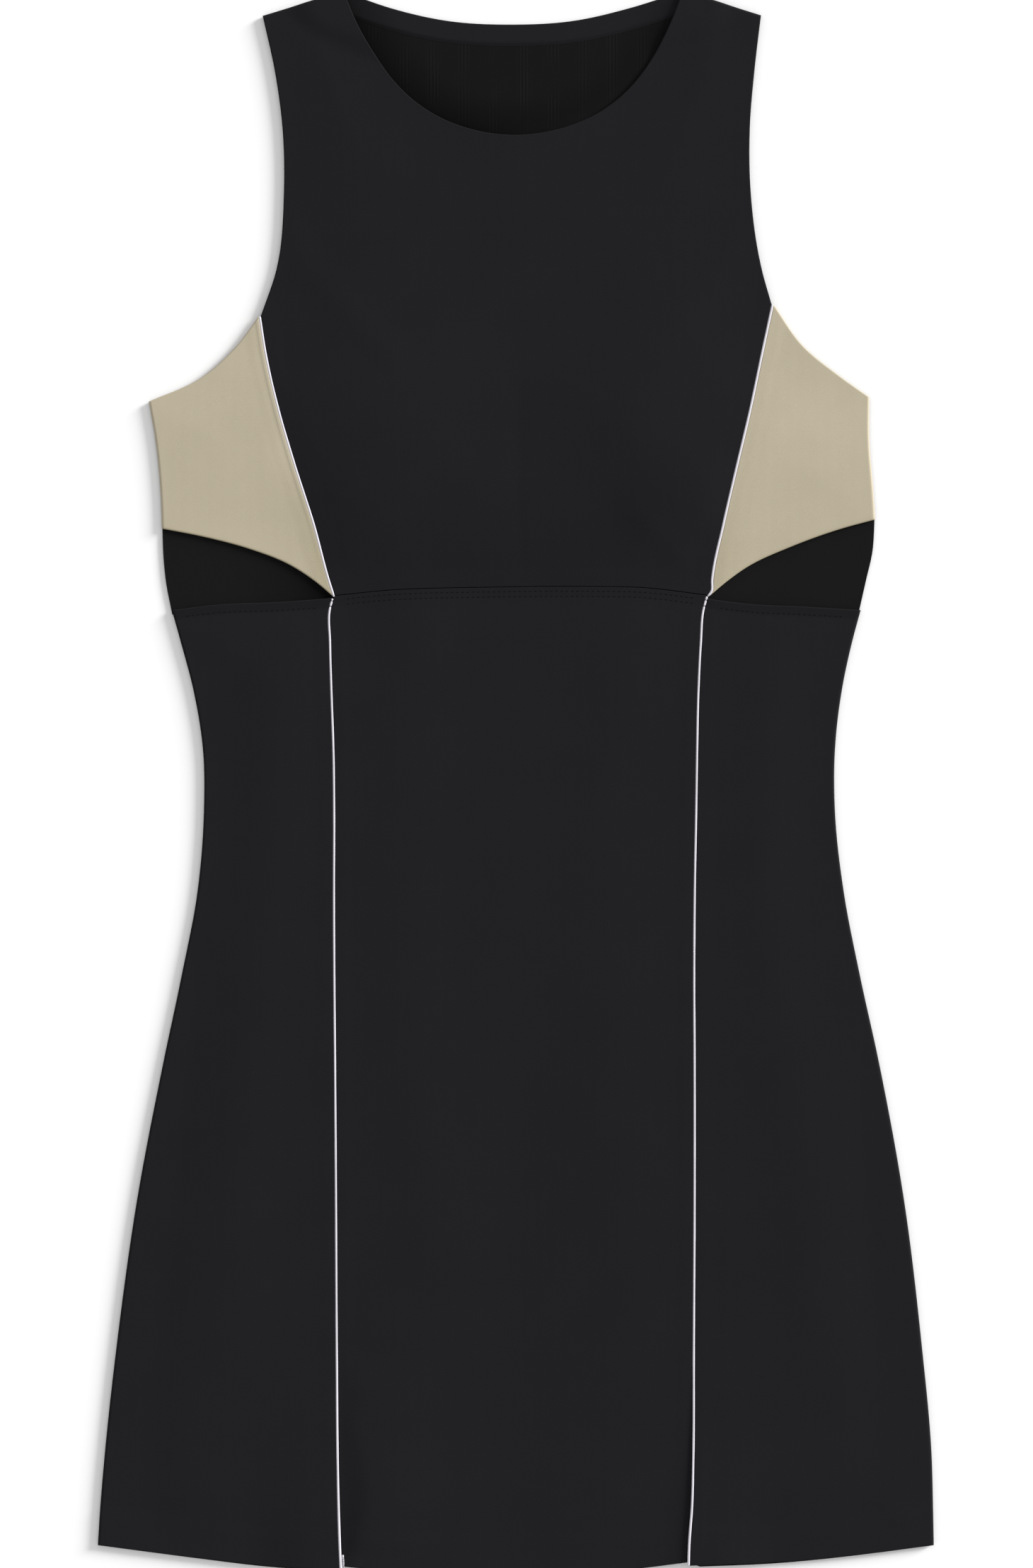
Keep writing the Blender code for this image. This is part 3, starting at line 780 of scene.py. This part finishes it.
def add_mesh(name, points, faces, material):
    """A smooth-shaded piece from points in millimetres, riding on the dress."""
    mesh = bpy.data.meshes.new(name)
    mesh.from_pydata((np.asarray(points) * MM).tolist(), [], faces)
    mesh.shade_smooth()
    mesh.materials.append(MATERIALS[material])
    piece = bpy.data.objects.new(name, mesh)
    bpy.context.scene.collection.objects.link(piece)
    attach(piece, "root")
    return piece


def add_cloth(node, plan, underside, edges, material, thickness=WALL, shade=None):
    """A closed panel whose faces curve together at its edges.

    An edge is its line and how far the upper face drops there.
    """
    down = np.zeros(plan.shape[:2])
    up = np.zeros(plan.shape[:2])
    for line, drop in edges:
        away = distance(plan, [line])
        down = np.maximum(down, round_off(away, drop))
        up = np.maximum(up, round_off(away, thickness - drop))
    upper = underside + thickness - down
    lower = np.minimum(underside + up, upper - THINNEST)
    rows, columns = plan.shape[:2]
    inner = (slice(1, -1), slice(1, -1))
    points_up = np.concatenate([plan, upper[..., None]], axis=-1).reshape(-1, 3)
    points_down = np.concatenate([plan[inner], lower[inner][..., None]], axis=-1).reshape(-1, 3)
    top = np.arange(rows * columns).reshape(rows, columns)
    bottom = top.copy()
    bottom[inner] = rows * columns + np.arange((rows - 2) * (columns - 2)).reshape(rows - 2, columns - 2)
    faces = []
    for index, order in ((top, 1), (bottom, -1)):
        corners = (index[:-1, :-1], index[1:, :-1], index[1:, 1:], index[:-1, 1:])
        faces += np.stack(corners, axis=-1).reshape(-1, 4)[:, ::order].tolist()
    piece = add_mesh(node + "_cloth", np.vstack([points_up, points_down]), faces, material)
    # The shade attribute holds painted shade, as a share from 0 to 1; a panel without it has none
    painted_shade = np.zeros(plan.shape[:2]) if shade is None else shade
    values = np.concatenate([painted_shade.ravel(), np.zeros(len(points_down))]).astype(np.float32)
    piece.data.attributes.new("shade", "FLOAT", "POINT").data.foreach_set("value", values)
    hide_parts(node)


def add_tubes(name, routes, radii, material, sides, flatness=1.0):
    """Closed tubes along routes of points, all in one piece. Each route has its own list of radii."""
    points, faces, start = [], [], 0
    angles = np.linspace(0, 2 * np.pi, sides, endpoint=False)
    for route, radius in zip(routes, radii):
        direction = np.gradient(route, axis=0)
        direction /= np.linalg.norm(direction, axis=1)[:, None]
        across = np.cross(direction, (0.0, 0.0, 1.0))
        across /= np.linalg.norm(across, axis=1)[:, None]
        over = np.cross(across, direction)
        ring = np.cos(angles)[:, None] * across[:, None]
        ring = ring + flatness * np.sin(angles)[:, None] * over[:, None]
        points.append((route[:, None] + ring * np.reshape(radius, (-1, 1, 1))).reshape(-1, 3))
        index = start + np.arange(len(route) * sides).reshape(-1, sides)
        following = np.roll(index, -1, axis=1)
        quads = np.stack([index[:-1], following[:-1], following[1:], index[1:]], axis=-1)
        faces += quads.reshape(-1, 4).tolist()
        faces += [index[0, ::-1].tolist(), index[-1].tolist()]
        start += len(route) * sides
    return add_mesh(name, np.vstack(points), faces, material)


def end_rounding(run, radius):
    """The share of a tube's radius at each place along it, with both of its ends rounded."""
    inside = np.minimum(run, run[-1] - run)
    t = np.clip(1 - inside / radius, 0.0, TIP_ROUNDING)
    return np.sqrt(1 - t**2)


def piping_route(line, overlaps_slit=False):
    """A cord's centre line with its height, and close points at both of its ends for their rounding."""
    total = run_of(line)[-1]
    close = np.concatenate([FIRST_POINTS, np.arange(CLOSE_START, CLOSE_LENGTH, CLOSE_SPACING)]) / total
    middle = np.linspace(close[-1], 1 - close[-1], round(total / PIPING_SPACING))[1:-1]
    plan = along(line, np.concatenate([close, middle, 1 - close[::-1]]))
    heights = front_underside(plan, overlaps_slit) + CORD_LEVEL
    return np.concatenate([plan, heights[:, None]], axis=-1)


def cord_radii(route, radius):
    """The cord's radius along its route, a little uneven, with rounded ends."""
    run = run_of(route)
    uneven = 1
    for share, length, start in PIPING_WAVES:
        uneven = uneven + share * np.sin(run / length + start)
    return radius * uneven * end_rounding(run, radius)


def add_cords(name, routes, radii, node):
    """White cords that stand for a node's plain rod."""
    piece = add_tubes(name, routes, radii, "white", PIPING_SIDES, PIPING_FLATNESS)
    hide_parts(node)


def add_bodice_piping(side):
    """The piping of the bodice's seam, which tapers toward the waist."""
    route = piping_route(np.vstack([hand(BODICE_SEAM, side), PIPING_TIP[side]]))
    run = run_of(route)
    taper = TAPER_RADIUS + (1 - TAPER_RADIUS) * smoothstep((run[-1] - run) / TAPER_LENGTH)
    radii = cord_radii(route, PIPING_RADIUS["bodice"]) * taper
    add_cords(f"bodice_piping_{side}_cord", [route], [radii], "bodice_piping_" + side)


def add_skirt_piping(side):
    """The piping of the skirt's seam. The waist's stitches pinch it, and the left one has a loose end."""
    route = piping_route(between(skirt_seam(side), SKIRT_PIPING_TOP[side], -np.inf), overlaps_slit=True)
    y = route[:, 1]
    radii = cord_radii(route, PIPING_RADIUS["skirt"])
    radii = radii * (1 + HEM_WIDENING * smoothstep((HEM_WIDENS_FROM - y) / HEM_WIDENS_OVER))
    for height in PINCH_HEIGHTS[side]:
        radii = radii * (1 - PINCH * np.exp(-(((y - height) / PINCH_LENGTH) ** 2)))
    routes, all_radii = [route], [radii]
    if side == "left":
        tail = piping_route(smooth(TAIL), overlaps_slit=True)
        tail[:, 2] -= TAIL_DROP
        routes.append(tail)
        all_radii.append(TAIL_RADIUS * end_rounding(run_of(tail), TAIL_RADIUS))
    add_cords(f"skirt_piping_{side}_cord", routes, all_radii, "skirt_piping_" + side)


def stitch_routes(line):
    """One short arched route on the front's outer face for each stitch along the line."""
    total = run_of(line)[-1]
    count = int(total / (STITCH_LENGTH + STITCH_GAP))
    starts = (np.arange(count) + 0.5) * total / count - STITCH_LENGTH / 2
    starts = starts + RANDOM.uniform(-STITCH_SHIFT, STITCH_SHIFT, count)
    shares = np.linspace(0, 1, len(STITCH_SHAPE))
    places = (starts[:, None] + shares * STITCH_LENGTH) / total
    plan = along(line, places.ravel())
    arch = np.tile(np.sin(np.pi * shares) ** 0.5, count)
    top = front_underside(plan) + WALL + THREAD_RADIUS * (THREAD_RISE * arch - THREAD_SINK)
    return np.concatenate([plan, top[:, None]], axis=-1).reshape(count, len(shares), 3)


def add_stitches(name, routes, radius):
    """Short tubes of thread that are thinner at their ends."""
    add_tubes(name, routes, [radius * STITCH_SHAPE] * len(routes), "thread", THREAD_SIDES)


def toward_light(plan):
    """0 at the neck's left side and 1 at its right, with a soft turn between."""
    start, end = NECK_SHADE_TURN
    return smoothstep((plan[..., 0] - start) / (end - start))


def front_bodice():
    """A yoke from the shoulders to the armholes' piped corners, and a chest from there to the waist."""
    armholes, seams = [], []
    for side, inward in (("left", 1), ("right", -1)):
        seam = offset(hand(BODICE_SEAM, side), inward * CLOTH_TO_PIPING["bodice"])
        armhole = hand(ARMHOLE[: PIPED_SEAM_ROW + 1], side)
        armholes.append(fit_ends(armhole, armhole[0], seam[0]))
        seams.append(seam)
    top, across = shoulders_and_neck(FRONT_NECK_LINE, (armholes[0][0], armholes[1][0]), FRONT_SPACING)
    plan = stacked_plan(armholes, seams, top, WAIST_LINE, across, FRONT_SPACING)
    edges = [(FRONT_NECK_LINE, FREE), (plan[-1], AT_WAIST)]
    edges += [(line, FREE) for line in armholes] + [(line, SEWN) for line in seams]
    edges += [(line, JOINED_TO_BACK) for line in SHOULDERS]
    shade = np.zeros(plan.shape[:2])
    for spot in WAIST_SHADES:
        away = ((plan - (spot.x, spot.y)) / (spot.across, spot.along)) ** 2
        shade = shade + spot.depth * np.exp(-away.sum(axis=-1))
    rim = np.exp(-distance(plan, [FRONT_NECK_LINE]) / NECK_RIM_REACH)
    shade = shade + NECK_RIM_SHADE * (1 - toward_light(plan)) * rim
    add_cloth("front_bodice", plan, front_underside(plan), edges, "black", shade=shade)


def side_panel(side):
    """A stone panel under the armhole, with a free lower edge at the cut-out."""
    outward = -1 if side == "left" else 1
    seam = offset(hand(BODICE_SEAM, side), outward * CLOTH_TO_PIPING["bodice"])
    underarm = hand(ARMHOLE[PIPED_SEAM_ROW:], side)[::-1]
    flank, free = hand(BODICE_SIDE, side), hand(CUT_OUT_TOP, side)
    plan = panel_plan(flank, seam, underarm, free, SIDE_PANEL_SPACING, side)
    edges = [(flank, JOINED_TO_BACK), (seam, SEWN), (plan[0], FREE), (plan[-1], FREE)]
    # Painted shade: darker along the free lower edge, and beside the piping up to a height
    free_edge = FREE_EDGE_SHADE * np.exp(-distance(plan, [plan[-1]]) / FREE_EDGE_REACH)
    beside = distance(plan, [hand(BODICE_SEAM, side)])
    painted_shade = SEAM_SHADES[side]
    near_seam = painted_shade.depth * np.exp(-((beside / painted_shade.reach) ** 2))
    near_seam = near_seam * smoothstep((painted_shade.top - plan[..., 1]) / painted_shade.fade)
    shade = np.maximum(free_edge, near_seam)
    underside = front_underside(plan)
    if side == "left":
        ridge = RIDGE_HEIGHT * (1 - smoothstep((beside - RIDGE_WIDTH) / RIDGE_FADE))
        underside = underside + ridge * smoothstep((plan[..., 1] - RIDGE_START) / RIDGE_RISE)
    add_cloth("side_panel_" + side, plan, underside, edges, "stone", shade=shade)


def slit_fold(plan):
    """How far the centre panel rises to the right of the left slit."""
    seam = skirt_seam("left")
    x, y = plan[..., 0], plan[..., 1]
    across = np.where(x > np.interp(y, seam[::-1, 1], seam[::-1, 0]), distance(plan, [seam]), 0.0)
    heights = [row.y for row in SLIT_FOLD[::-1]]
    width = np.interp(y, heights, [row.width for row in SLIT_FOLD[::-1]])
    rise = np.interp(y, heights, [row.height for row in SLIT_FOLD[::-1]])
    return rise * smoothstep(across / width) * (1 - smoothstep((across - width) / SLIT_FOLD_FADE))


def facing_shade(plan, top, kind):
    """Painted shade: a slightly darker strip along the skirt's top edge, over the waist's facing."""
    return FACING_SHADE[kind] * (1 - smoothstep(distance(plan, [top]) - FACING_WIDTH[kind]))


def skirt_front():
    """The centre panel of the skirt. At the slits its edges run on under the side panels."""
    edges = []
    for side, inward, hem in (("left", 1, CENTRE_HEM[0]), ("right", -1, CENTRE_HEM[-1])):
        seam = between(skirt_seam(side), np.inf, hem[1])
        under = smoothstep((UNDERLAP_TOP - seam[:, 1]) / UNDERLAP_LENGTH)
        away = CLOTH_TO_PIPING["skirt"]
        edge = offset(seam, inward * (away - (away + UNDERLAP) * under))
        edge[0] += (0.0, WAIST_CLOSING)
        edges.append(edge)
    plan = panel_plan(edges[0], edges[1], WAIST_LINE, smooth(CENTRE_HEM), FRONT_SPACING)
    kinds = [(plan[0], AT_WAIST), (plan[-1], FREE)] + [(line, SEWN) for line in edges]
    underside = front_underside(plan) + slit_fold(plan)
    shade = facing_shade(plan, WAIST_LINE, "centre")
    add_cloth("skirt_front", plan, underside, kinds, "black", shade=shade)


def skirt_side(side):
    """A flared side panel, with a free top edge at the cut-out, that lies over the slit."""
    outward = -1 if side == "left" else 1
    seam = between(skirt_seam(side), SKIRT_SIDE_TOP_Y, -np.inf)
    seam = offset(seam, outward * CLOTH_TO_PIPING["skirt"])
    flank = side_seam(side)
    plan = panel_plan(flank, seam, hand(CUT_OUT_BOTTOM, side), hand(SIDE_HEM, side), FRONT_SPACING, side)
    edges = [(flank, JOINED_TO_BACK), (seam, SEWN), (plan[0], FREE), (plan[-1], FREE)]
    underside = front_underside(plan, overlaps_slit=True)
    shade = facing_shade(plan, hand(CUT_OUT_BOTTOM, side), "side")
    add_cloth("skirt_side_" + side, plan, underside, edges, "black", shade=shade)


def neck_shade(plan):
    """Painted shade on the inside of the back, from the neck down to the front's edge and a little past
    it.
    """
    away = distance(plan, [FRONT_NECK_LINE])
    lit = toward_light(plan)
    at_edge = NECK_EDGE_SHADE + (NECK_EDGE_SHADE_LIT - NECK_EDGE_SHADE) * lit
    chest = smoothstep((plan[..., 1] - ARMHOLE[PIPED_SEAM_ROW].left_y) / NECK_SHADE_REACH)
    at_edge = at_edge * (1 - lit * (1 - smoothstep(away / NECK_CONTACT)))
    return chest * (NECK_SHADE + at_edge * np.clip(1 - away / NECK_SHADE_REACH, 0.0, 1.0))


def back_bodice():
    """The back lies flat. Its inside shows in the neck and in the cut-outs."""
    armholes, flanks = [], []
    for side, inward in (("left", 1), ("right", -1)):
        flank = np.vstack([hand(BODICE_SIDE, side), hand(CUT_OUT_SIDE, side)[1:]])
        flanks.append(between(offset(flank, inward * BACK_INSET), np.inf, BACK_WAIST_Y))
        armhole = offset(hand(ARMHOLE, side), inward * BACK_INSET)
        armholes.append(fit_ends(armhole, armhole[0], flanks[-1][0]))
    top, across = shoulders_and_neck(BACK_NECK_LINE, (armholes[0][0], armholes[1][0]), BACK_SPACING)
    waist = np.array([flanks[0][-1], flanks[1][-1]])
    plan = stacked_plan(armholes, flanks, top, waist, across, BACK_SPACING)
    edges = [(BACK_NECK_LINE, BACK_FREE), (plan[-1], BACK_FREE)]
    edges += [(line, BACK_FREE) for line in armholes]
    edges += [(line, BACK_JOINED) for line in (*flanks, *SHOULDERS)]
    lower = [hand(CUT_OUT_BOTTOM, side) for side in SIDES]
    waist_shade = WAIST_SHADE * np.exp(-distance(plan, lower) / WAIST_SHADE_REACH)
    flat = np.zeros(plan.shape[:2])
    apex_shade = APEX_SHADE * np.exp(-np.linalg.norm(plan - APEX, axis=-1) / APEX_SHADE_REACH)
    upper = [hand(CUT_OUT_TOP, side) for side in SIDES]
    cut_out_shade = apex_shade + CUT_OUT_SHADE * np.exp(-distance(plan, upper) / CUT_OUT_SHADE_REACH)
    shade = np.maximum(neck_shade(plan), np.maximum(waist_shade, cut_out_shade))
    add_cloth("back_bodice", plan, flat, edges, "inside", shade=shade)


def back_skirt():
    """One plain piece under the whole skirt."""
    flanks = []
    for side, inward in (("left", 1), ("right", -1)):
        flanks.append(between(offset(side_seam(side), inward * BACK_INSET), BACK_WAIST_Y, -np.inf))
    waist = smooth([flanks[0][0], flanks[1][0]])
    hem = np.vstack([HEM_LINES[1], HEM_LINES[0], HEM_LINES[2][::-1]]) + (0.0, BACK_INSET)
    plan = panel_plan(*flanks, waist, hem, HIDDEN_SPACING)
    edges = [(plan[0], BACK_FREE), (plan[-1], BACK_FREE)] + [(line, BACK_JOINED) for line in flanks]
    flat = np.zeros(plan.shape[:2])
    add_cloth("back_skirt", plan, flat, edges, "inside")


def back_neck_band():
    """A smooth band that follows the back neck, on the inside of the back."""
    neck = resampled(BACK_NECK_LINE, BAND_SPACING)[1:-1]
    down = sideways(neck[::-1])[::-1]
    depths = BAND_INSET + (BAND_WIDTH - BAND_INSET) * steps(BAND_WIDTH, BAND_STRIPS)
    plan = np.stack([neck + down * depth for depth in depths])
    edges = [(plan[0], BAND_CLOTH / 2), (plan[-1], BAND_EDGE)]
    edges += [(plan[:, 0], BAND_CLOTH / 2), (plan[:, -1], BAND_CLOTH / 2)]
    near_edge = smoothstep((depths - BAND_THINS_FROM) / (BAND_WIDTH - BAND_THINS_FROM))[:, None]
    shade = np.clip(neck_shade(plan) - NECK_SHADE + BAND_LOWER_SHADE * near_edge, 0.0, 1.0)
    underside = WALL - np.repeat(near_edge * (BAND_CLOTH - BAND_EDGE), len(neck), axis=1)
    add_cloth("back_neck_band", plan, underside, edges, "black", BAND_CLOTH, shade)


def waist_stitches():
    """Twin rows below the waist seam. The lower row runs on along the skirt's side panels."""
    rows = [WAIST_LINE[WAIST_ROW_PART] - (0.0, drop) for drop in WAIST_ROWS]
    rows += [hand(CUT_OUT_BOTTOM, side)[SIDE_ROW_PART] - (0.0, SIDE_ROW) for side in SIDES]
    routes = [route for row in rows for route in stitch_routes(row)]
    add_stitches("waist_stitches", routes, THREAD_RADIUS)


def piping_stitches():
    """The ends of the waist's rows, where they cross and pinch the skirt's pipings."""
    routes = []
    half_width = PIPING_RADIUS["skirt"] * (1 - PINCH)
    around = np.linspace(-CROSSING_ARC / 2, CROSSING_ARC / 2, len(STITCH_SHAPE)) + np.pi / 2
    for side in SIDES:
        for height in PINCH_HEIGHTS[side]:
            centre = between(skirt_seam(side), np.inf, height)[-1:]
            level = front_underside(centre, overlaps_slit=True)[0] + CORD_LEVEL
            x = centre[0, 0] - (half_width + CROSSING_RADIUS) * CROSSING_OVERHANG * np.cos(around)
            y = centre[0, 1] + CROSSING_SLANT * np.cos(around)
            rise = half_width * PIPING_FLATNESS + CROSSING_RADIUS * CROSSING_SINK
            routes.append(np.stack([x, y, level + rise * np.sin(around)], axis=-1))
    add_stitches("piping_stitches", routes, CROSSING_RADIUS)


def studio():
    """A pale floor, a soft light from the right and above, and a camera that looks straight down."""
    floor_material, tree, shader, place, _ = start_material("floor_paper", 0.95, 0.05, 0.0)
    grain = scaled(tree, noise(tree, place, PAPER_GRAIN), 0.985, 1.0)
    tree.links.new(tinted(tree, FLOOR_COLOUR, grain), shader.inputs["Base Color"])
    shader.inputs["Emission Color"].default_value = (1.0, 1.0, 1.0, 1.0)
    shader.inputs["Emission Strength"].default_value = FLOOR_GLOW
    bpy.ops.mesh.primitive_plane_add(size=FLOOR_SIZE, location=(0.0, 0.0, -FLOOR_DROP))
    floor = bpy.context.object
    floor.name = "floor"
    floor.data.materials.append(floor_material)
    key = bpy.data.objects.new("key", bpy.data.lights.new("key", "SUN"))
    key.data.energy = KEY_STRENGTH
    key.data.angle = np.radians(KEY_ANGLE)
    key.rotation_euler = (np.radians(90.0 - KEY_ELEVATION), 0.0, np.radians(KEY_AZIMUTH))
    bpy.context.scene.collection.objects.link(key)
    world = bpy.data.worlds.new("studio")
    world.use_nodes = True
    background = world.node_tree.nodes["Background"]
    background.inputs[0].default_value = (1.0, 1.0, 1.0, 1.0)
    background.inputs[1].default_value = FILL_STRENGTH
    bpy.context.scene.world = world
    camera = bpy.data.objects.new("camera", bpy.data.cameras.new("camera"))
    camera.data.lens = LENS
    camera.data.sensor_width = SENSOR
    above = FRONT_LEVEL + PHOTO_HEIGHT * PHOTO_MM_PER_PIXEL * LENS / SENSOR
    camera.location = (PHOTO_CENTRE[0] * MM, PHOTO_CENTRE[1] * MM, above * MM)
    bpy.context.scene.collection.objects.link(camera)
    bpy.context.scene.camera = camera
    bpy.context.scene.view_settings.view_transform = "Standard"


studio()
back_bodice()
back_skirt()
back_neck_band()
front_bodice()
skirt_front()
for one in SIDES:
    side_panel(one)
    skirt_side(one)
    add_bodice_piping(one)
    add_skirt_piping(one)
waist_stitches()
piping_stitches()
